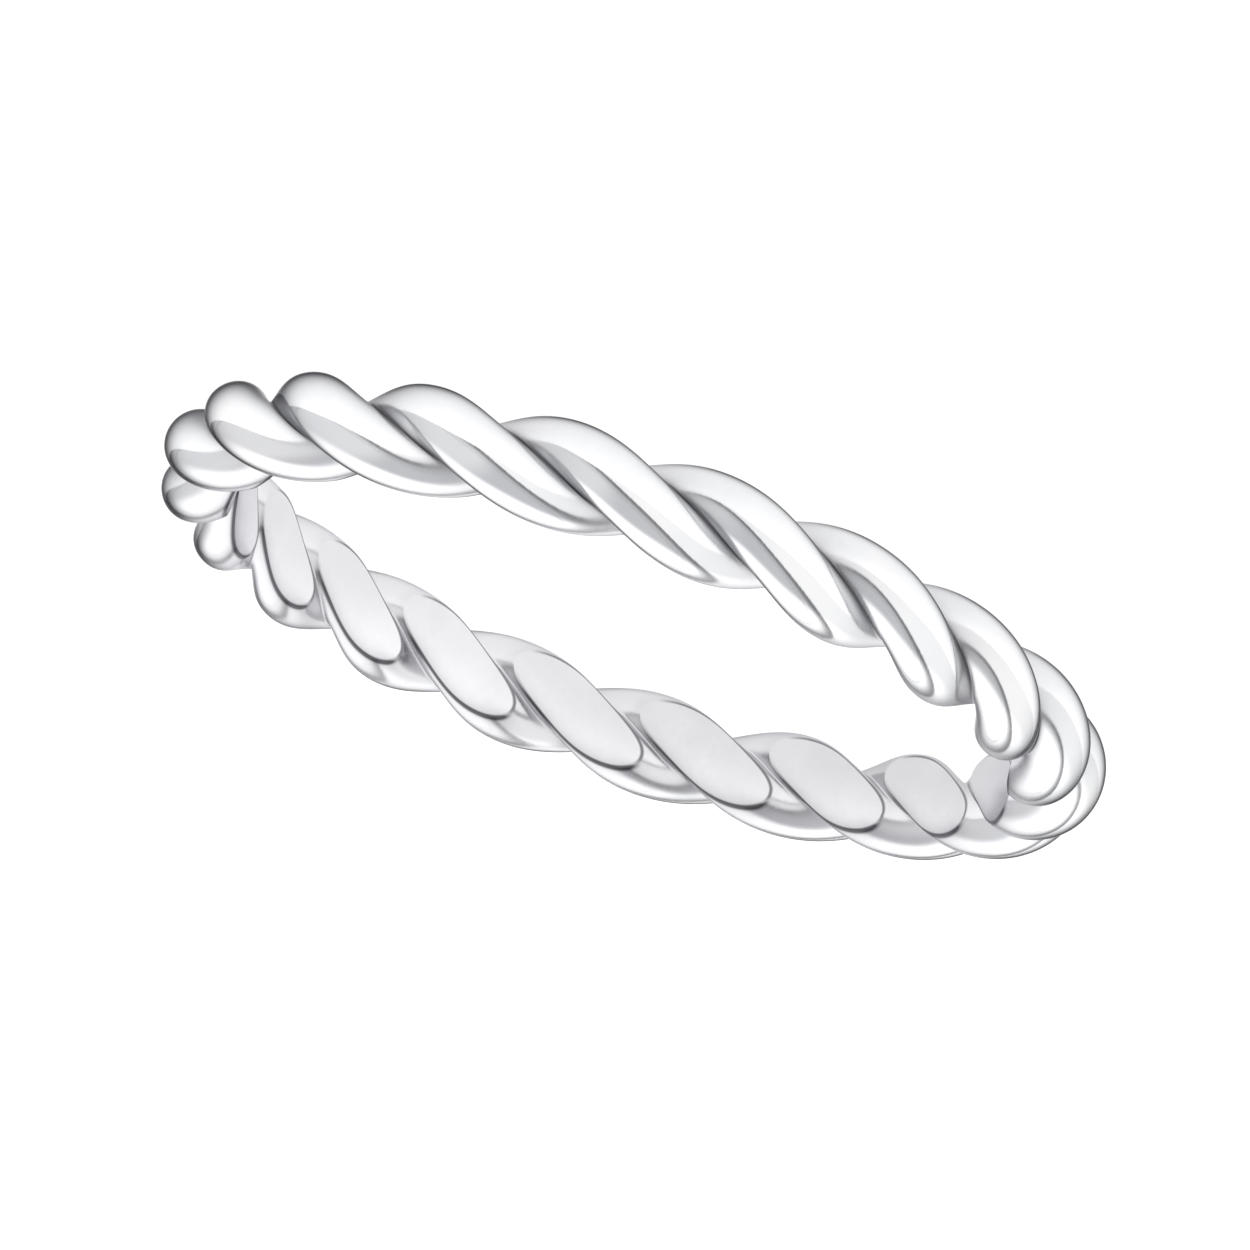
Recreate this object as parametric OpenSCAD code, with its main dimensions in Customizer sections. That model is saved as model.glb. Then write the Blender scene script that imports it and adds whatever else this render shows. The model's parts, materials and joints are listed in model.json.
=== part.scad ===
// Rope twist ring: two strands of silver wire twisted together to the right, closed into
// a hoop and soldered, with the inside dressed to a true round finger hole.
// The ring lies flat. Z = 0 is the surface under it, and Z is the finger hole's axis.

/* [Finger hole] */

// Inside diameter, US size 7
bore_d = 17.3; // [13:0.1:23]
// How far the hole is dressed into the rope's inner crowns, as a share of the rope
bore_bite = 0.215; // [0.06:0.005:0.3]

/* [Rope] */

// Thickness of the rope across both strands
rope_w = 2.25; // [1.4:0.05:4]
// Half turns of the twist round the ring
half_turns = 19; // [11:1:31]
// Distance of a strand's centre from the rope's, as a share of half the rope
strand_out = 0.41; // [0.3:0.01:0.46]
// Width of a strand across the rope, as a share of the rope
strand_wide = 0.657; // [0.5:0.001:0.8]

/* [Hand twisting] */

// How far the twist runs ahead and behind of an even one twice round the ring, in degrees
twist_waver = 14.5; // [0:0.5:20]
// Place round the ring where that waver is nothing and starts to run ahead, in degrees
waver_at = 117; // [0:1:180]
// How far the twist runs ahead and behind once round the ring, in degrees
twist_drift = 5.7; // [0:0.1:12]
// Place round the ring where that drift is nothing and starts to run ahead, in degrees
drift_at = 49; // [0:1:360]

/* [Hidden] */

// Hand of the twist: -1 is a right-handed rope
twist_hand = -1;
rope_r = rope_w / 2;
bore_r = bore_d / 2;
// Radius of the circle that the rope's centre follows
ring_r = bore_r + rope_r - bore_bite * rope_w;
// Strand section: distance of its centre, half its depth and half its width
strand_a = rope_r * strand_out;
strand_n = rope_r - strand_a;
strand_t = rope_r * strand_wide;
// Angle on a strand's oval at which it meets the other strand's
meet = acos(-strand_a / strand_n);
// Points on one strand's outline, and stations along one half turn
strand_points = 12;
station_budget = 240;
half_turn_steps = floor(station_budget / half_turns);
sides = 2 * strand_points;
stations = half_turns * half_turn_steps;
// A rope with an odd number of half turns closes with its strands swapped
seam_shift = (half_turns % 2) * strand_points;
// The turn that puts a strand's crown on the surface
crown_down = 90;
cut_h = 2 * rope_w;

// Point j of the two joined ovals, in the rope's own section
function strand_point(j) =
    let (
        side = j < strand_points ? 1 : -1,
        t = meet * (2 * (j % strand_points) / strand_points - 1)
    )
    [side * (strand_a + strand_n * cos(t)), side * strand_t * sin(t)];

// How far the section has turned at station k
function section_turn(k) =
    crown_down + twist_hand * 180 * k / half_turn_steps
        + twist_waver * sin(2 * (360 * k / stations - waver_at))
        + twist_drift * sin(360 * k / stations - drift_at);

// Point j of the section at station k, in the ring's frame
function rope_point(k, j) =
    let (
        around = 360 * k / stations,
        turn = section_turn(k),
        p = strand_point(j),
        out = p[0] * cos(turn) - p[1] * sin(turn),
        up = p[0] * sin(turn) + p[1] * cos(turn)
    )
    [(ring_r + out) * cos(around), (ring_r + out) * sin(around), rope_r + up];

// Index of point j at station k, where the station after the last is the first again
function point_index(k, j) =
    k < stations
        ? k * sides + j % sides
        : (j + seam_shift) % sides;

// The two strands as one closed skin
module twisted_rope() {
    polyhedron(
        points = [for (k = [0 : stations - 1], j = [0 : sides - 1]) rope_point(k, j)],
        faces = [
            for (k = [0 : stations - 1], j = [0 : sides - 1], half = [0, 1])
                half == 0
                    ? [point_index(k, j), point_index(k + 1, j), point_index(k + 1, j + 1)]
                    : [point_index(k, j), point_index(k + 1, j + 1), point_index(k, j + 1)]
        ],
        convexity = 10
    );
}

// The whole ring: the rope with its finger hole dressed round
module rope_band() {
    color("silver")
        difference() {
            twisted_rope();
            translate([0, 0, rope_r - cut_h / 2])
                cylinder(h = cut_h, r = bore_r, $fn = 180);
        }
}

rope_band();
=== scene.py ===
"""Rope twist ring: the dressed ring, the surface it lies on, the light and the camera."""

import json
import logging
import math
from dataclasses import dataclass
from enum import Enum

import bpy
import numpy as np
from mathutils import Matrix, Vector

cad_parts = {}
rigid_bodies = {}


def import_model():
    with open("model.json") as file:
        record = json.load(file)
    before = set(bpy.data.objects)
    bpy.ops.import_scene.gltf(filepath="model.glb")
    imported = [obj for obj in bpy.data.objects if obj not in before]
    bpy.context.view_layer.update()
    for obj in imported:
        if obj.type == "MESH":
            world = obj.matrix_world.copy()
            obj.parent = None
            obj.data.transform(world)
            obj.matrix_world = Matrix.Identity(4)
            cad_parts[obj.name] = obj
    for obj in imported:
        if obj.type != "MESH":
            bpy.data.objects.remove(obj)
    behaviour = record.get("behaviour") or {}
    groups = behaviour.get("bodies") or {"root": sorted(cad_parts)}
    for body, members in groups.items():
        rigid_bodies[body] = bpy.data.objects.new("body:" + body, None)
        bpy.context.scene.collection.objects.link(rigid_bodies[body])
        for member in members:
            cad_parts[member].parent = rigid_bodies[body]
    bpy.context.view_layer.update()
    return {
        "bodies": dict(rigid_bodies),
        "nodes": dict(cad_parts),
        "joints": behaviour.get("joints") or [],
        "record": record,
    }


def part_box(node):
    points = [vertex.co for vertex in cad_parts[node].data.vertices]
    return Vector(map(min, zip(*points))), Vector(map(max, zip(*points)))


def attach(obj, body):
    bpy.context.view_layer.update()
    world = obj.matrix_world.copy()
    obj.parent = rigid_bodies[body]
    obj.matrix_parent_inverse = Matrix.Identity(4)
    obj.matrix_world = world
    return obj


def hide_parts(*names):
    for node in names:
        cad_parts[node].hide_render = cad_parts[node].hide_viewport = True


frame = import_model()

MM = 0.001
PHOTO_SIDE = 1250
SENSOR_MM = 36.0

# The hammering's waves, in radians for each millimetre along x, y and z, and by how much
# each one starts ahead of the one before.
HAMMER_WAVES = ((2.1, 3.3, -1.7), (-3.9, 1.2, 2.6), (1.4, -2.8, 4.1), (4.6, 2.2, 0.9))
HAMMER_STEP = 1.7

log = logging.getLogger("rope_twist_ring")


class Signal:
    """A node's output that can be used in arithmetic, adding Math nodes as it goes."""

    def __init__(self, tree: "NodeTree", socket: bpy.types.NodeSocket | None) -> None:
        """Wraps a socket.

        Args:
            tree: The node tree that the socket is in.
            socket: The output socket, or None for a node that ends a tree.
        """
        self.tree = tree
        self.socket = socket

    def _math(self, operation: str, *values: "Signal | float") -> "Signal":
        """Adds one Math node.

        Args:
            operation: The Math node's operation.
            *values: What its inputs take, in order.

        Returns:
            The node's result.
        """
        inputs = dict(enumerate(values))
        return self.tree.node("ShaderNodeMath", {"operation": operation}, inputs)

    def __add__(self, other: "Signal | float") -> "Signal":
        """Returns self + other."""
        return self._math("ADD", self, other)

    def __radd__(self, other: float) -> "Signal":
        """Returns other + self."""
        return self._math("ADD", other, self)

    def __sub__(self, other: "Signal | float") -> "Signal":
        """Returns self - other."""
        return self._math("SUBTRACT", self, other)

    def __rsub__(self, other: float) -> "Signal":
        """Returns other - self."""
        return self._math("SUBTRACT", other, self)

    def __mul__(self, other: "Signal | float") -> "Signal":
        """Returns self * other."""
        return self._math("MULTIPLY", self, other)

    def __rmul__(self, other: float) -> "Signal":
        """Returns other * self."""
        return self._math("MULTIPLY", other, self)

    def __pow__(self, other: "Signal | float") -> "Signal":
        """Returns self ** other."""
        return self._math("POWER", self, other)

    def __rpow__(self, other: float) -> "Signal":
        """Returns other ** self."""
        return self._math("POWER", other, self)

    def __abs__(self) -> "Signal":
        """Returns the value without its sign."""
        return self._math("ABSOLUTE", self)

    def ramp(self, low: float, high: float) -> "Signal":
        """Rises smoothly from 0 at low to 1 at high.

        Args:
            low: The value that gives 0.
            high: The value that gives 1.

        Returns:
            The smooth step.
        """
        return self.tree.node(
            "ShaderNodeMapRange",
            {"interpolation_type": "SMOOTHSTEP"},
            {"Value": self, "From Min": low, "From Max": high},
        )

    def fade(self, reach: float) -> "Signal":
        """Falls off on both sides of 0, where it is 1.

        Args:
            reach: The value at which about a third is left.

        Returns:
            The exponential fall.
        """
        return math.e ** (abs(self) * (-1 / reach))


Colour = tuple[float, float, float, float]
Span = tuple[float, float]
Feed = Signal | float | Colour | tuple[float, float, float]

# The Mix node's colour sockets come after those for its other types.
MIX_FACTOR, MIX_FIRST, MIX_SECOND, MIX_RESULT = 0, 6, 7, 2


class NodeTree:
    """A node tree with one way to add any node."""

    def __init__(self, owner: bpy.types.Material | bpy.types.World) -> None:
        """Starts an empty tree.

        Args:
            owner: The material or world that the tree belongs to.
        """
        owner.use_nodes = True
        self.nodes = owner.node_tree.nodes
        self.links = owner.node_tree.links
        self.nodes.clear()

    def node(
        self,
        kind: str,
        settings: dict[str, object] | None = None,
        inputs: dict[str | int, Feed] | None = None,
        output: str | int = 0,
    ) -> Signal:
        """Adds a node, sets it up and feeds its inputs.

        Args:
            kind: The node's type.
            settings: The node's own settings, made first.
            inputs: Values or signals for its input sockets.
            output: The output to return.

        Returns:
            The chosen output, or an empty signal for a node that ends the tree.
        """
        made = self.nodes.new(kind)
        for name, value in (settings or {}).items():
            setattr(made, name, value)
        for name, value in (inputs or {}).items():
            if isinstance(value, Signal):
                self.links.new(value.socket, made.inputs[name])
            else:
                made.inputs[name].default_value = value
        return Signal(self, made.outputs[output]) if made.outputs else Signal(self, None)

    def attribute(self, name: str, output: str = "Fac") -> Signal:
        """Reads a value stored on the mesh.

        Args:
            name: The attribute's name.
            output: The reading: Fac for a number, Vector for three.

        Returns:
            The value at each point.
        """
        return self.node("ShaderNodeAttribute", {"attribute_name": name}, output=output)

    def mix(self, share: Signal, first: Feed, second: Feed) -> Signal:
        """Blends two colours.

        Args:
            share: How much of the second colour.
            first: The colour at 0.
            second: The colour at 1.

        Returns:
            The blended colour.
        """
        inputs = {MIX_FACTOR: share, MIX_FIRST: first, MIX_SECOND: second}
        return self.node("ShaderNodeMix", {"data_type": "RGBA"}, inputs, MIX_RESULT)


@dataclass(frozen=True)
class Noise:
    """The settings of one noise texture."""

    scale: float
    detail: float
    roughness: float

    def over(self, tree: NodeTree, place: Signal, turn: Signal | None = None) -> Signal:
        """Adds the texture to a tree.

        Args:
            tree: The node tree.
            place: Where the noise is read.
            turn: A fourth coordinate, for noise that has one.

        Returns:
            The noise, around 0.5.
        """
        inputs = {
            "Vector": place,
            "Scale": self.scale,
            "Detail": self.detail,
            "Roughness": self.roughness,
        }
        if turn is None:
            return tree.node("ShaderNodeTexNoise", {"noise_dimensions": "3D"}, inputs)
        inputs["W"] = turn
        return tree.node("ShaderNodeTexNoise", {"noise_dimensions": "4D"}, inputs)


class Zone(Enum):
    """Values kept on the ring's skin for its finish and painted shade, by attribute name.

    GAP is 0 in a groove and grows away from it on both strands, so that it doesn't jump
    where one strand runs into the other. PROUD is the distance from the crease round a
    flat, below 0 on the flat, and OUTSIDE is the distance from the finger hole's wall.
    These three are in millimetres. AHEAD says which edge of a flat is near, from -1 to 1.
    ALONG hardly changes along a strand. AROUND is the cosine of the way round.
    """

    GAP = "gap_to_next_strand"
    PROUD = "proud_of_hole"
    OUTSIDE = "outside_hole"
    AHEAD = "ahead_on_flat"
    ALONG = "along_strand"
    AROUND = "around_ring"


@dataclass(frozen=True)
class PolishedSilver:
    """Sterling silver: mirror polished backs, satin flats, darker down in the grooves.

    A reach is how far a mark spreads on the metal, in millimetres. A span holds the
    values at which a ramp starts and ends, in the unit of what it reads; edges are spans
    of Zone.AHEAD, and heights are in metres above the floor. A dark is how much of the
    shaded colour a mark has.
    """

    bright: Colour = (0.96, 0.96, 0.965, 1.0)
    cool: Colour = (0.90, 0.91, 0.93, 1.0)
    shaded: Colour = (0.10, 0.10, 0.11, 1.0)
    satin: Colour = (0.62, 0.62, 0.635, 1.0)
    satin_pale: Colour = (0.89, 0.885, 0.91, 1.0)
    edge_tint: Colour = (0.03, 0.03, 0.035, 1.0)
    satin_edge: Colour = (0.75, 0.75, 0.77, 1.0)

    # Noise, and the spans in which the colours follow the clouds.
    hairline_noise: Noise = Noise(scale=3.2, detail=3.0, roughness=0.6)
    cloud_noise: Noise = Noise(scale=420.0, detail=4.0, roughness=0.55)
    grain_noise: Noise = Noise(scale=9000.0, detail=2.0, roughness=0.5)
    cool_span: Span = (0.3, 0.75)

    # Satin: on the flats, less towards the strands' backs, and in the grooves.
    satin_span: Span = (-0.02, 0.35)
    inner_span: Span = (0.3, 1.1)
    inner_satin: float = 0.8
    groove_satin: float = 0.75

    # The satin's pale colour, painted light by height and by the way round the ring,
    # paler higher up and towards +X, with random tone by the clouds.
    pale_heights: Span = (0.6 * MM, 2.1 * MM)
    pale_clouds: Span = (0.4, 0.7)
    pale_around: Span = (-0.7, 0.7)
    pale_shares: tuple[float, float, float] = (0.5, 0.2, 0.3)

    # Tarnish and painted shade: a dark line in each groove, part tarnish and part painted
    # shade, a painted shade beside it and a painted soft grey shade low on the ring. The
    # spared shares say how much of it the flats and the finger hole's side are spared.
    groove_reach: float = 0.09
    groove_dark: float = 0.95
    shade_reach: float = 0.38
    shade_dark: float = 0.24
    patch_span: Span = (0.35, 0.7)
    patch_least: float = 0.6
    flat_spared_share: float = 0.7
    inner_spared_share: float = 0.95
    low_heights: Span = (0.3 * MM, 1.6 * MM)
    low_reach: float = 0.8
    low_dark: float = 0.34

    # Creases, painted shade: a thin dark line painted on one edge of each flat, and on
    # the other a thick painted dark line with a soft painted shade, the halo, beside it.
    crease_dark: float = 0.95
    thin_inset: float = 0.03
    thin_span: Span = (0.01, 0.07)
    thin_edge: Span = (0.15, 0.7)
    thin_dark: float = 0.9
    thick_line_span: Span = (0.0, 0.12)
    thick_line_edge: Span = (-0.3, 0.7)
    thick_line_heights: Span = (0.7 * MM, 1.5 * MM)
    halo_reach: float = 0.28
    halo_dark: float = 0.45

    # Roughness and relief.
    polish: float = 0.045
    hairline_span: Span = (0.45, 0.75)
    hairline_rough: float = 0.05
    groove_rough: float = 0.3
    satin_rough: float = 0.24
    grain_least: float = 0.7
    grain_more: float = 0.6
    hairline_depth: float = 0.0012 * MM
    hairline_share: float = 0.8
    relief_strength: float = 0.6

    def _tarnish_and_shade(
        self, gap: Signal, dressed: Signal, inner: Signal, height: Signal, clouds: Signal
    ) -> Signal:
        """Works out the tarnish and painted shade in the grooves and painted shade low
        down.

        Args:
            gap: The distance from the groove.
            dressed: How much of a flat the place is.
            inner: How near the finger hole's side the place is.
            height: The height above the floor.
            clouds: The noise that makes it patchy.

        Returns:
            The darkness, from 0 to 1.
        """
        patchy = self.patch_least + (1 - self.patch_least) * clouds.ramp(*self.patch_span)
        patchy_shade = (1 - self.flat_spared_share * dressed) * patchy
        # The groove line is part tarnish and part painted shade; the shade beside it is
        # painted.
        line = gap.fade(self.groove_reach) * self.groove_dark
        shade = gap.fade(self.shade_reach) * self.shade_dark * patchy_shade
        # Painted shade low on the ring, near the floor, close to the grooves.
        low = gap.fade(self.low_reach) * (1 - height.ramp(*self.low_heights))
        spared = (line + shade) * (1 - self.inner_spared_share * inner)
        return spared + low * (1 - inner) * self.low_dark

    def _painted_crease_lines(self, proud: Signal, ahead: Signal, height: Signal) -> Signal:
        """Works out how dark the painted shade lines round the flats are.

        Args:
            proud: The distance from the crease, below 0 on a flat.
            ahead: Which edge of the flat is near.
            height: The height above the floor.

        Returns:
            The darkness, above 1 where the thick line is thickest.
        """
        thin = 1 - abs(proud + self.thin_inset).ramp(*self.thin_span)
        thin = thin * ahead.ramp(*self.thin_edge) * self.thin_dark
        # A thick painted dark line with a soft painted shade beside it, only higher up.
        thick_line = 1 - abs(proud).ramp(*self.thick_line_span)
        thick_line = thick_line + proud.fade(self.halo_reach) * self.halo_dark
        thick_line = thick_line * (1 - ahead.ramp(*self.thick_line_edge)) * height.ramp(*self.thick_line_heights)
        return (thin + thick_line) * self.crease_dark

    def material(self) -> bpy.types.Material:
        """Builds the material.

        Returns:
            The silver, for the ring's only slot.
        """
        made = bpy.data.materials.new("polished_silver")
        tree = NodeTree(made)
        gap = tree.attribute(Zone.GAP.value)
        proud = tree.attribute(Zone.PROUD.value)
        ahead = tree.attribute(Zone.AHEAD.value)
        around = tree.attribute(Zone.AROUND.value)
        along = tree.attribute(Zone.ALONG.value, "Vector")
        place = tree.node("ShaderNodeTexCoord", output="Object")
        height = tree.node("ShaderNodeSeparateXYZ", inputs={"Vector": place}, output="Z")
        hairlines = self.hairline_noise.over(tree, along, around)
        clouds = self.cloud_noise.over(tree, place)
        grain = self.grain_noise.over(tree, place)
        shade = gap.fade(self.shade_reach)
        inner = 1 - tree.attribute(Zone.OUTSIDE.value).ramp(*self.inner_span)
        dressed = 1 - proud.ramp(*self.satin_span) * (1 - self.inner_satin * inner)
        satin = 1 - (1 - dressed) * (1 - shade * self.groove_satin)
        # Painted light: the satin is paler higher up and towards +X; the clouds add
        # random tone.
        by_height, by_clouds, by_around = self.pale_shares
        pale = (
            height.ramp(*self.pale_heights) * by_height
            + clouds.ramp(*self.pale_clouds) * by_clouds
            + around.ramp(*self.pale_around) * by_around
        )
        polished = tree.mix(clouds.ramp(*self.cool_span), self.bright, self.cool)
        skin = tree.mix(dressed, polished, tree.mix(pale, self.satin, self.satin_pale))
        # Painted shade lines round the flats.
        lined = tree.mix(self._painted_crease_lines(proud, ahead, height), skin, self.shaded)
        # Grooves: tarnish and painted shade; painted shade low on the ring.
        tarnish_and_shade = self._tarnish_and_shade(gap, dressed, inner, height, clouds)
        colour = tree.mix(tarnish_and_shade, lined, self.shaded)
        rough = (
            self.polish
            + self.hairline_rough * hairlines.ramp(*self.hairline_span)
            + self.groove_rough * shade
        )
        brushed = self.satin_rough * (self.grain_least + self.grain_more * grain)
        relief = hairlines * self.hairline_share + grain * (1 - self.hairline_share)
        normal = tree.node(
            "ShaderNodeBump",
            inputs={
                "Strength": self.relief_strength,
                "Distance": self.hairline_depth,
                "Height": relief,
            },
        )
        backs, flats = (
            tree.node(
                "ShaderNodeBsdfPrincipled",
                inputs={
                    "Base Color": colour,
                    "Metallic": 1.0,
                    "Roughness": gloss,
                    "Specular Tint": edge,
                    "Normal": normal,
                },
            )
            for gloss, edge in ((rough, self.edge_tint), (brushed, self.satin_edge))
        )
        shader = tree.node("ShaderNodeMixShader", inputs={0: satin, 1: backs, 2: flats})
        tree.node("ShaderNodeOutputMaterial", inputs={"Surface": shader})
        return made


@dataclass(frozen=True)
class PalePaper:
    """Smooth white studio paper with a faint fibre, lit from below."""

    light: Colour = (0.20, 0.20, 0.201, 1.0)
    fibre: Colour = (0.185, 0.185, 0.186, 1.0)
    glow: Colour = (1.0, 1.0, 1.0, 1.0)
    fibre_noise: Noise = Noise(scale=900.0, detail=5.0, roughness=0.6)
    fibre_span: Span = (0.4, 0.7)
    rough: float = 0.55
    glow_strength: float = 0.87

    def material(self) -> bpy.types.Material:
        """Builds the material.

        Returns:
            The paper, for the floor.
        """
        made = bpy.data.materials.new("studio_paper")
        tree = NodeTree(made)
        place = tree.node("ShaderNodeTexCoord", output="Object")
        fibres = self.fibre_noise.over(tree, place).ramp(*self.fibre_span)
        shader = tree.node(
            "ShaderNodeBsdfPrincipled",
            inputs={
                "Base Color": tree.mix(fibres, self.light, self.fibre),
                "Roughness": self.rough,
                "Emission Color": self.glow,
                "Emission Strength": self.glow_strength,
            },
        )
        tree.node("ShaderNodeOutputMaterial", inputs={"Surface": shader})
        return made


@dataclass
class RopeBand:
    """The twisted hoop.

    The rope, the finger hole's radius, the fillet and the hammering are in millimetres.
    The hole's bite is a share of the rope, and each strand's middle and half width are
    shares of the rope's radius. The twist wavers twice round the ring and drifts once.
    The groove crowd draws a section's points together in the grooves, from 0 to 1.
    """

    node: str = "rope_band"
    rope: float = 2.25
    hole_radius: float = 8.65
    bite_share: float = 0.215
    strand_out: float = 0.41
    strand_wide: float = 0.657
    half_turns: int = 19
    waver_deg: float = 14.5
    waver_at_deg: float = 117.0
    drift_deg: float = 5.7
    drift_at_deg: float = 49.0
    solder_fillet: float = 0.035
    hammer_depth: float = 0.004
    groove_crowd: float = 0.45
    stations_per_half_turn: int = 44
    points_per_strand: int = 56
    crease_rounds: int = 5
    hairline_fineness: float = 10.0
    proud_least_slope: float = 0.2
    ahead_least_slope: float = 0.01

    @classmethod
    def from_frame(cls) -> "RopeBand":
        """Takes the rope's thickness and the hole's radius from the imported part.

        Returns:
            The hoop, its other sizes as they stand above.
        """
        low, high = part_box(cls.node)
        hole = frame["record"]["mounts"][0]["dims"]["r_mm"]
        return cls(rope=(high.z - low.z) / MM, hole_radius=hole)

    @property
    def rope_radius(self) -> float:
        """Half the rope's thickness."""
        return self.rope / 2

    @property
    def ring_radius(self) -> float:
        """Radius of the circle that the rope's centre follows."""
        return self.hole_radius + self.rope_radius - self.bite_share * self.rope

    def _oval_reach(self, angle: np.ndarray) -> np.ndarray:
        """Distance from the rope's centre to the far side of one strand's oval.

        Args:
            angle: Directions, measured from the one in which the oval lies.

        Returns:
            The distance in each direction.
        """
        centre = self.rope_radius * self.strand_out
        depth = self.rope_radius - centre
        width = self.rope_radius * self.strand_wide
        cos, sin = np.cos(angle), np.sin(angle)
        square = cos**2 / depth**2 + sin**2 / width**2
        half = cos * centre / depth**2
        rest = centre**2 / depth**2 - 1
        return (half + np.sqrt(half**2 - square * rest)) / square

    @staticmethod
    def _place(around: np.ndarray, out: np.ndarray, up: np.ndarray) -> np.ndarray:
        """Turns places round the hole's axis into points.

        Args:
            around: Angles round the axis.
            out: Distances from the axis.
            up: Heights.

        Returns:
            The points, with x, y and z on a new last axis.
        """
        return np.stack([out * np.cos(around), out * np.sin(around), up], axis=-1)

    @staticmethod
    def _hammered(points: np.ndarray) -> np.ndarray:
        """The hand-dressed unevenness of the wire.

        Args:
            points: Places in millimetres, the last axis being x, y, z.

        Returns:
            A smooth value from 0 to 1 at each place.
        """
        total = sum(
            np.sin(points @ np.array(wave) + HAMMER_STEP * number)
            for number, wave in enumerate(HAMMER_WAVES)
        )
        return (1 + total / len(HAMMER_WAVES)) / 2

    def skin(self, station: np.ndarray, side: np.ndarray) -> dict[str, np.ndarray]:
        """Places points on the rope before its hole is dressed.

        Args:
            station: How far round the ring, in sections; need not be whole.
            side: How far round the section, in points; need not be whole.

        Returns:
            For each point, by name: around the ring and angle on the section in radians,
            out from the axis, up, and the gap to the next strand in millimetres.
        """
        around = 2 * np.pi * station / self.stations
        strand, step = np.divmod(side, self.points_per_strand)
        step = step / self.points_per_strand * 2 - 1
        centre = self.rope_radius * self.strand_out
        depth = self.rope_radius - centre
        width = self.rope_radius * self.strand_wide
        meet = math.acos(-centre / depth)
        on_oval = meet * (step + self.groove_crowd * np.sin(np.pi * step) / np.pi)
        angle = np.arctan2(width * np.sin(on_oval), centre + depth * np.cos(on_oval))
        angle = angle + np.pi * strand
        reach, other = self._oval_reach(angle), self._oval_reach(angle - np.pi)
        gap = reach - other
        radius = (reach + other + np.sqrt(gap**2 + self.solder_fillet**2)) / 2
        waver, waver_at = math.radians(self.waver_deg), math.radians(self.waver_at_deg)
        drift, drift_at = math.radians(self.drift_deg), math.radians(self.drift_at_deg)
        turn = np.pi / 2 - self.half_turns * around / 2
        turn = turn + waver * np.sin(2 * (around - waver_at))
        turn = turn + drift * np.sin(around - drift_at)
        facing = turn + angle
        out, up = self.ring_radius + radius * np.cos(facing), radius * np.sin(facing)
        hammered = self._hammered(self._place(around, out, up))
        radius = radius - self.hammer_depth * hammered
        return {
            "around": around,
            "angle": angle,
            "out": self.ring_radius + radius * np.cos(facing),
            "up": self.rope_radius + radius * np.sin(facing),
            "gap": gap,
        }

    def proud(self, station: np.ndarray, side: np.ndarray) -> np.ndarray:
        """How far the rope stands outside the finger hole before it is dressed.

        Args:
            station: How far round the ring, in sections.
            side: How far round the section, in points.

        Returns:
            Millimetres, below 0 where the hole's cutter takes metal away.
        """
        return self.skin(station, side)["out"] - self.hole_radius

    def _normal(self, station: np.ndarray, side: np.ndarray) -> np.ndarray:
        """Which way the skin faces before the finger hole is dressed.

        Args:
            station: How far round the ring, in sections.
            side: How far round the section, in points.

        Returns:
            Unit vectors: away from the hole's axis, along the ring and up.
        """
        nudge = 0.05
        near = [
            self.skin(station + nudge * step, side + nudge * turn)
            for step, turn in ((1, 0), (-1, 0), (0, 1), (0, -1))
        ]
        onward, back, right, left = (
            self._place(spot["around"], spot["out"], spot["up"]) for spot in near
        )
        normal = np.cross(onward - back, right - left)
        normal /= np.linalg.norm(normal, axis=-1, keepdims=True)
        around = 2 * np.pi * station / self.stations
        cos, sin = np.cos(around), np.sin(around)
        out = normal[..., 0] * cos + normal[..., 1] * sin
        along = normal[..., 1] * cos - normal[..., 0] * sin
        return np.stack([out, along, normal[..., 2]], axis=-1)

    def _to_crease(
        self, station: np.ndarray, side: np.ndarray
    ) -> tuple[np.ndarray, np.ndarray, np.ndarray]:
        """Moves the nearest points onto the crease where a flat meets its strand's back.

        Args:
            station: Each point's place round the ring, in sections.
            side: Each point's place round the section, in points.

        Returns:
            The new places round the ring and the section, and which points were moved.
        """
        height = self.proud(station, side)
        before = np.roll(height, 1, axis=0)
        before[0] = np.roll(height[-1], self.swap)
        after = np.roll(height, -1, axis=0)
        after[-1] = np.roll(height[0], -self.swap)
        beside = [np.roll(height, 1, axis=1), np.roll(height, -1, axis=1)]
        snapped = np.zeros(height.shape, bool)
        for other in (before, after, *beside):
            snapped |= (height * other < 0) & (np.abs(height) <= np.abs(other))
        nudge, never_zero = 0.02, 1e-12
        for _ in range(self.crease_rounds):
            here = self.proud(station, side)
            along = self.proud(station + nudge, side) - self.proud(station - nudge, side)
            across = self.proud(station, side + nudge) - self.proud(station, side - nudge)
            along, across = along / (2 * nudge), across / (2 * nudge)
            step = np.where(snapped, here / (along**2 + across**2 + never_zero), 0.0)
            station = station - step * along
            side = side - step * across
        return station, side, snapped

    @property
    def stations(self) -> int:
        """Sections round the ring."""
        return self.half_turns * self.stations_per_half_turn

    @property
    def swap(self) -> int:
        """By how many points a section's count shifts where the ring closes."""
        return (self.half_turns % 2) * self.points_per_strand

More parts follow.
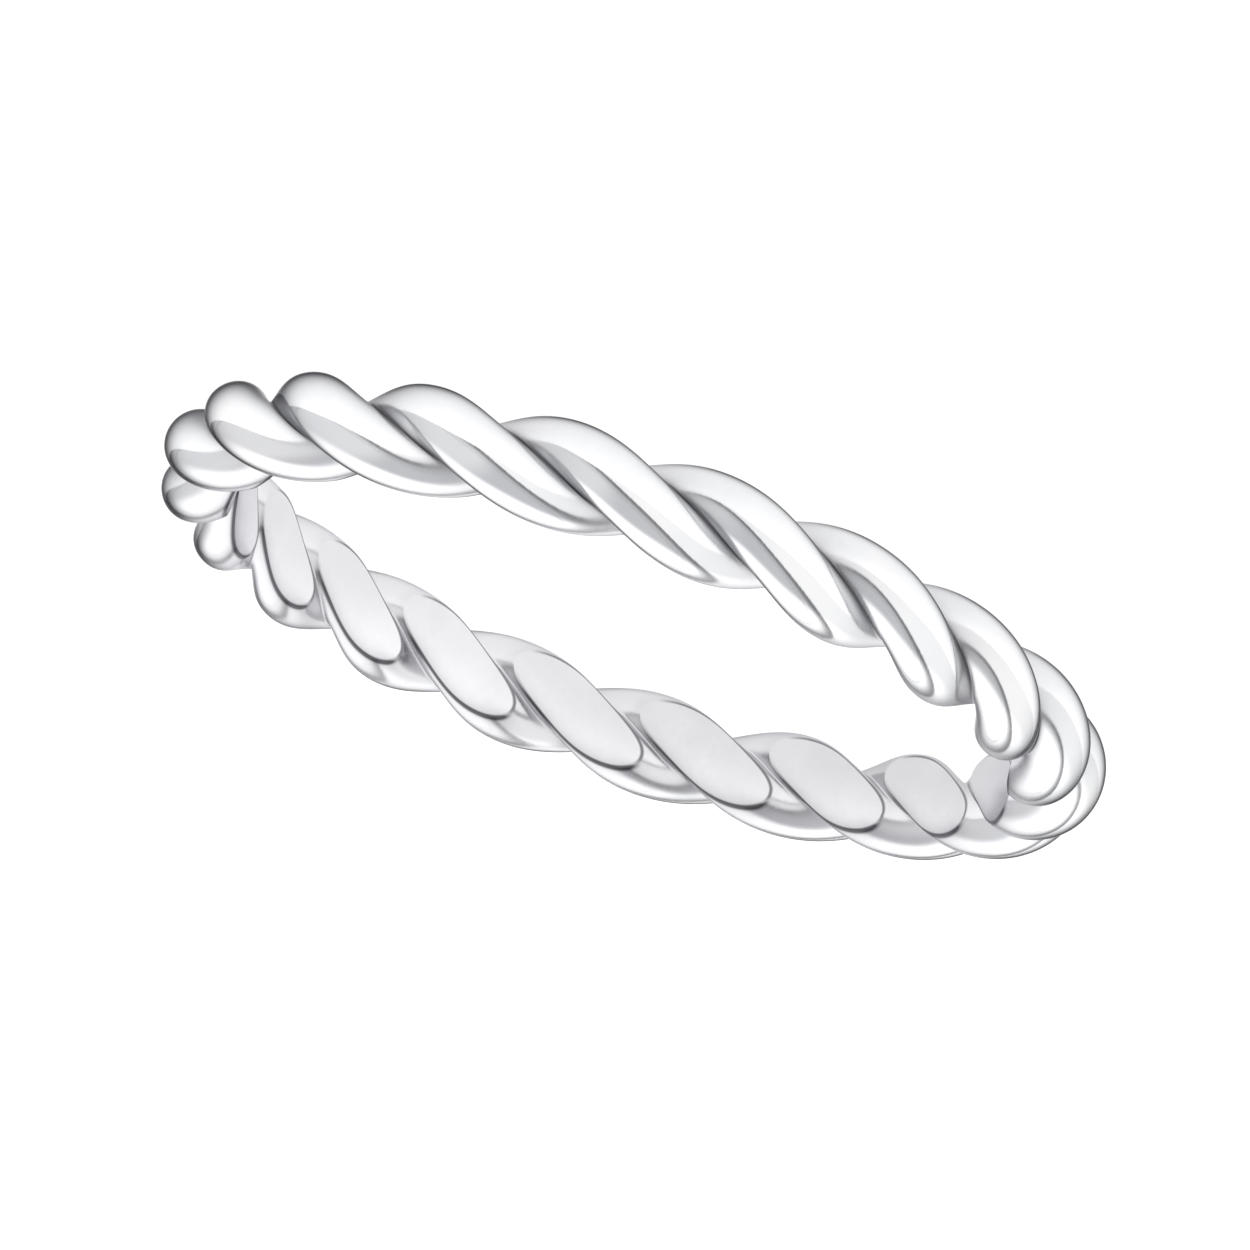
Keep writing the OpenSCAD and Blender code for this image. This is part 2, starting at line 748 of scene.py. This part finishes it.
    def mesh(self) -> bpy.types.Mesh:
        """Sweeps the turning section round the ring and dresses the finger hole.

        Returns:
            The ring's skin, with the attributes that its finish reads.
        """
        shape = (self.stations, 2 * self.points_per_strand)
        station, side = (grid.astype(float) for grid in np.indices(shape))
        station, side, snapped = self._to_crease(station, side)
        skin = self.skin(station, side)
        around, angle = skin["around"], skin["angle"]
        proud = np.where(snapped, 0.0, skin["out"] - self.hole_radius)
        out = self.hole_radius + np.maximum(proud, 0.0)
        points = self._place(around, out, skin["up"])
        faces, flat = self._faces(proud)
        made = bpy.data.meshes.new(self.node)
        made.from_pydata((points.reshape(-1, 3) * MM).tolist(), [], faces)
        made.polygons.foreach_set("use_smooth", [True] * len(faces))
        self._sharpen(made, flat)
        lay, fine = angle + around / 2, self.hairline_fineness
        grain = [fine * np.cos(lay), fine * np.sin(lay), np.sin(around)]
        facing = self._normal(station, side)
        slope = np.hypot(facing[..., 1], facing[..., 2])
        climb = self.half_turns / 2 * self.rope_radius
        pitch = np.hypot(self.hole_radius, climb)
        ahead = (facing[..., 1] * climb - facing[..., 2] * self.hole_radius) / pitch
        self._store(made, Zone.GAP, np.abs(skin["gap"]))
        self._store(made, Zone.OUTSIDE, proud)
        self._store(made, Zone.PROUD, proud / np.maximum(slope, self.proud_least_slope))
        self._store(made, Zone.AHEAD, ahead / np.maximum(slope, self.ahead_least_slope))
        self._store(made, Zone.AROUND, np.cos(around))
        self._store(made, Zone.ALONG, np.stack(grain, axis=-1))
        made.validate()
        return made

    def _faces(self, proud: np.ndarray) -> tuple[list[tuple[int, ...]], list[bool]]:
        """Lists the skin's faces; the strands swap where the ring closes.

        Args:
            proud: How far each point stands outside the finger hole, 0 on a crease.

        Returns:
            The point numbers of each face, seen from outside, and whether it is a flat.
        """
        stations, sides = proud.shape
        here, side = np.indices(proud.shape)
        last = here == stations - 1
        onward = np.where(last, 0, here + 1)
        shift = np.where(last, self.swap, 0)
        beside = (side + 1) % sides
        corners = np.stack(
            (
                here * sides + side,
                onward * sides + (side + shift) % sides,
                onward * sides + (beside + shift) % sides,
                here * sides + beside,
            ),
            axis=-1,
        ).reshape(-1, 4)
        height = proud.reshape(-1)[corners]
        mixed = (height.min(axis=1) < 0) & (height.max(axis=1) > 0)
        first = mixed & (height[:, 0] == 0) & (height[:, 2] == 0)
        second = mixed & ~first & (height[:, 1] == 0) & (height[:, 3] == 0)
        faces = corners[~(first | second)].tolist()
        cuts = ((first, ((0, 1, 2), (0, 2, 3))), (second, ((0, 1, 3), (1, 2, 3))))
        for chosen, halves in cuts:
            for half in halves:
                faces += corners[chosen][:, list(half)].tolist()
        heights = proud.reshape(-1)
        flat = [max(heights[face]) <= 0 for face in faces]
        return faces, flat

    @staticmethod
    def _sharpen(mesh: bpy.types.Mesh, flat: list[bool]) -> None:
        """Keeps the crease between the flats and the strands' backs crisp.

        Args:
            mesh: The ring's mesh.
            flat: For each face, whether it is a flat.
        """
        edge_of = np.empty(len(mesh.loops), int)
        mesh.loops.foreach_get("edge_index", edge_of)
        corners = np.empty(len(mesh.polygons), int)
        mesh.polygons.foreach_get("loop_total", corners)
        kind = np.repeat(np.array(flat, int), corners)
        flats = np.bincount(edge_of, weights=kind, minlength=len(mesh.edges))
        sharp = mesh.attributes.new("sharp_edge", "BOOLEAN", "EDGE")
        sharp.data.foreach_set("value", flats == 1)

    @staticmethod
    def _store(mesh: bpy.types.Mesh, zone: Zone, values: np.ndarray) -> None:
        """Keeps a value for each point on the mesh.

        Args:
            mesh: The mesh.
            zone: Which value it is.
            values: Numbers, or triples on the last axis, one for each point.
        """
        many = values.ndim == 3
        kind = "FLOAT_VECTOR" if many else "FLOAT"
        kept = mesh.attributes.new(zone.value, kind, "POINT")
        kept.data.foreach_set("vector" if many else "value", values.reshape(-1))

    def build(self, finish: PolishedSilver) -> bpy.types.Object:
        """Makes the ring, in place of its plain solid.

        Args:
            finish: The metal's finish.

        Returns:
            The ring.
        """
        ring = bpy.data.objects.new("silver_rope_band", self.mesh())
        bpy.context.scene.collection.objects.link(ring)
        ring.data.materials.append(finish.material())
        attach(ring, "root")
        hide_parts(self.node)
        return ring


@dataclass
class Floor:
    """The pale surface that the ring lies on, with its sizes in metres."""

    radius: float = 0.9
    drop: float = 0.004 * MM
    corners: int = 96

    def build(self, finish: PalePaper) -> bpy.types.Object:
        """Lays the floor just under the ring.

        Args:
            finish: The paper.

        Returns:
            The floor.
        """
        steps = [2 * math.pi * corner / self.corners for corner in range(self.corners)]
        rim = [
            (self.radius * math.cos(step), self.radius * math.sin(step), -self.drop)
            for step in steps
        ]
        made = bpy.data.meshes.new("floor")
        made.from_pydata(rim, [], [tuple(range(self.corners))])
        floor = bpy.data.objects.new("floor", made)
        bpy.context.scene.collection.objects.link(floor)
        made.materials.append(finish.material())
        return floor


def direction(azimuth_deg: float, elevation_deg: float) -> Vector:
    """Turns a compass bearing into a vector.

    Args:
        azimuth_deg: Angle round +Z, from +X.
        elevation_deg: Angle above the floor.

    Returns:
        The unit vector that way.
    """
    azimuth, elevation = math.radians(azimuth_deg), math.radians(elevation_deg)
    flat = math.cos(elevation)
    return Vector(
        (flat * math.cos(azimuth), flat * math.sin(azimuth), math.sin(elevation))
    )


@dataclass(frozen=True)
class Softbox:
    """One area light that faces the ring and leaves no patch in the polish.

    Its distance from the ring and its size across are in metres.
    """

    name: str
    azimuth_deg: float
    elevation_deg: float
    distance: float
    size: float
    watts: float

    def place(self, target: Vector) -> bpy.types.Object:
        """Hangs the light and turns it to the ring.

        Args:
            target: The point that it faces.

        Returns:
            The light.
        """
        away = direction(self.azimuth_deg, self.elevation_deg)
        lamp = bpy.data.lights.new(self.name, "AREA")
        lamp.shape = "DISK"
        lamp.size = self.size
        lamp.energy = self.watts
        made = bpy.data.objects.new(self.name, lamp)
        made.location = target + away * self.distance
        made.rotation_euler = (-away).to_track_quat("-Z", "Y").to_euler()
        made.visible_glossy = False
        bpy.context.scene.collection.objects.link(made)
        return made


@dataclass(frozen=True)
class TentPanel:
    """A round part of the tent, bright inside or outside its rim, with a dark frame."""

    azimuth_deg: float
    elevation_deg: float
    radius_deg: float
    bright_inside: bool
    softness_deg: float
    frame_deg: float = 5.0
    fade_deg: float = 5.0
    frame_dark: float = 0.0
    white: float = 1.0

    def shine(self, tree: NodeTree, way: Signal) -> tuple[Signal, Signal]:
        """Works out where the panel is bright and where its frame is dark.

        Args:
            tree: The world's tree.
            way: The direction looked in.

        Returns:
            The panel's brightness and its frame's darkness, both from 0 to 1.
        """
        centre = direction(self.azimuth_deg, self.elevation_deg)
        toward = tree.node(
            "ShaderNodeVectorMath",
            {"operation": "DOT_PRODUCT"},
            {0: way, 1: tuple(centre)},
            output="Value",
        )
        radius = math.radians(self.radius_deg)
        step = math.sin(radius)
        rim = math.cos(radius)
        soft = step * math.radians(self.softness_deg)
        near = step * math.radians(self.frame_deg)
        far = step * math.radians(self.fade_deg)
        inside = toward.ramp(rim - soft, rim + soft)
        bright = inside if self.bright_inside else 1 - inside
        before, after = (far, near) if self.bright_inside else (near, far)
        frame = toward.ramp(rim - before, rim) * (1 - toward.ramp(rim, rim + after))
        return bright * self.white, frame * self.frame_dark


@dataclass
class Studio:
    """A light tent of white panels in grey cloth, with lamps that only fill."""

    facing_deg: float
    white: Colour = (1.0, 1.0, 1.0, 1.0)
    cloth: Colour = (0.58, 0.582, 0.60, 1.0)
    card: Colour = (0.03, 0.03, 0.035, 1.0)
    strength: float = 1.0
    glare: float = 0.45
    exposure: float = 0.0

    @property
    def boxes(self) -> tuple[Softbox, ...]:
        """The lamps: one from the camera's side and one overhead."""
        return (
            Softbox(
                name="front_softbox",
                azimuth_deg=self.facing_deg,
                elevation_deg=42.0,
                distance=0.6,
                size=0.4,
                watts=2.4,
            ),
            Softbox(
                name="overhead_softbox",
                azimuth_deg=self.facing_deg + 180.0,
                elevation_deg=75.0,
                distance=0.7,
                size=0.6,
                watts=0.8,
            ),
        )

    @property
    def panels(self) -> tuple[TentPanel, ...]:
        """The tent's panels, white or only dark frames; the last one also glares."""
        side = self.facing_deg
        return (
            TentPanel(
                azimuth_deg=side + 98.0,
                elevation_deg=53.0,
                radius_deg=71.5,
                bright_inside=False,
                softness_deg=5.0,
                frame_deg=3.0,
                fade_deg=14.0,
                frame_dark=0.8,
            ),
            TentPanel(
                azimuth_deg=side + 98.0,
                elevation_deg=53.0,
                radius_deg=56.0,
                bright_inside=True,
                softness_deg=3.0,
                frame_deg=1.6,
                fade_deg=1.6,
                frame_dark=0.35,
                white=0.0,
            ),
            TentPanel(
                azimuth_deg=side + 88.0,
                elevation_deg=-6.0,
                radius_deg=60.0,
                bright_inside=True,
                softness_deg=12.0,
                white=0.5,
            ),
            TentPanel(
                azimuth_deg=side + 180.0,
                elevation_deg=50.0,
                radius_deg=42.0,
                bright_inside=True,
                softness_deg=12.0,
            ),
        )

    def build(self, target: Vector) -> None:
        """Sets the tent and its lights round the ring.

        Args:
            target: The ring's middle.
        """
        world = bpy.data.worlds.new("light_tent")
        bpy.context.scene.world = world
        tree = NodeTree(world)
        way = tree.node("ShaderNodeTexCoord", output="Generated")
        shines = [panel.shine(tree, way) for panel in self.panels]
        glaring, _ = shines[-1]
        unlit = math.prod(1 - bright for bright, _ in shines)
        unframed = math.prod(1 - frame for _, frame in shines)
        tent = tree.mix(unlit, self.white, self.cloth)
        colour = tree.mix(unframed, self.card, tent)
        power = self.strength + self.glare * glaring
        inputs = {"Color": colour, "Strength": power}
        light = tree.node("ShaderNodeBackground", inputs=inputs)
        tree.node("ShaderNodeOutputWorld", inputs={"Surface": light})
        for box in self.boxes:
            box.place(target)
        view = bpy.context.scene.view_settings
        view.view_transform = "Standard"
        view.exposure = self.exposure


@dataclass(frozen=True)
class PhotoCamera:
    """The photograph's view of the ring, from above the surface that it lies on.

    The distances are in metres. The centre is the pixel where the ring's middle shows.
    """

    azimuth_deg: float = -93.12
    elevation_deg: float = 14.62
    roll_deg: float = 200.86
    distance: float = 243.1 * MM
    pixels_per_mm: float = 48.12
    centre_x: float = 630.5
    centre_y: float = 621.8
    nearest: float = 1 * MM

    def build(self, target: Vector) -> bpy.types.Object:
        """Places the camera and makes it the scene's.

        Args:
            target: The ring's middle.

        Returns:
            The camera.
        """
        roll = math.radians(self.roll_deg)
        back = direction(self.azimuth_deg, self.elevation_deg)
        level = Vector((0, 0, 1)).cross(back).normalized()
        upright = back.cross(level)
        right = math.cos(roll) * level + math.sin(roll) * upright
        up = math.cos(roll) * upright - math.sin(roll) * level
        place = target + back * self.distance
        lens = bpy.data.cameras.new("photo_camera")
        lens.sensor_width = SENSOR_MM
        pixels = self.pixels_per_mm * self.distance / MM
        lens.lens = pixels * SENSOR_MM / PHOTO_SIDE
        lens.shift_x = (PHOTO_SIDE / 2 - self.centre_x) / PHOTO_SIDE
        lens.shift_y = (self.centre_y - PHOTO_SIDE / 2) / PHOTO_SIDE
        lens.clip_start = self.nearest
        camera = bpy.data.objects.new("photo_camera", lens)
        camera.matrix_world = Matrix(
            [(right[axis], up[axis], back[axis], place[axis]) for axis in range(3)]
            + [(0, 0, 0, 1)]
        )
        bpy.context.scene.collection.objects.link(camera)
        bpy.context.scene.camera = camera
        return camera


def main() -> None:
    """Builds the camera, the ring, the floor and the light, in that order."""
    logging.basicConfig(level=logging.INFO, format="%(message)s")
    band = RopeBand.from_frame()
    middle = Vector((0, 0, band.rope_radius * MM))
    photo = PhotoCamera()
    camera = photo.build(middle)
    log.info("camera: %s, lens %.0f mm", camera.name, camera.data.lens)
    ring = band.build(PolishedSilver())
    log.info("ring: %s, %d faces", ring.name, len(ring.data.polygons))
    floor = Floor().build(PalePaper())
    log.info("floor: %s", floor.name)
    Studio(photo.azimuth_deg).build(middle)
    log.info("light: tent and softboxes")


if __name__ == "__main__":
    main()
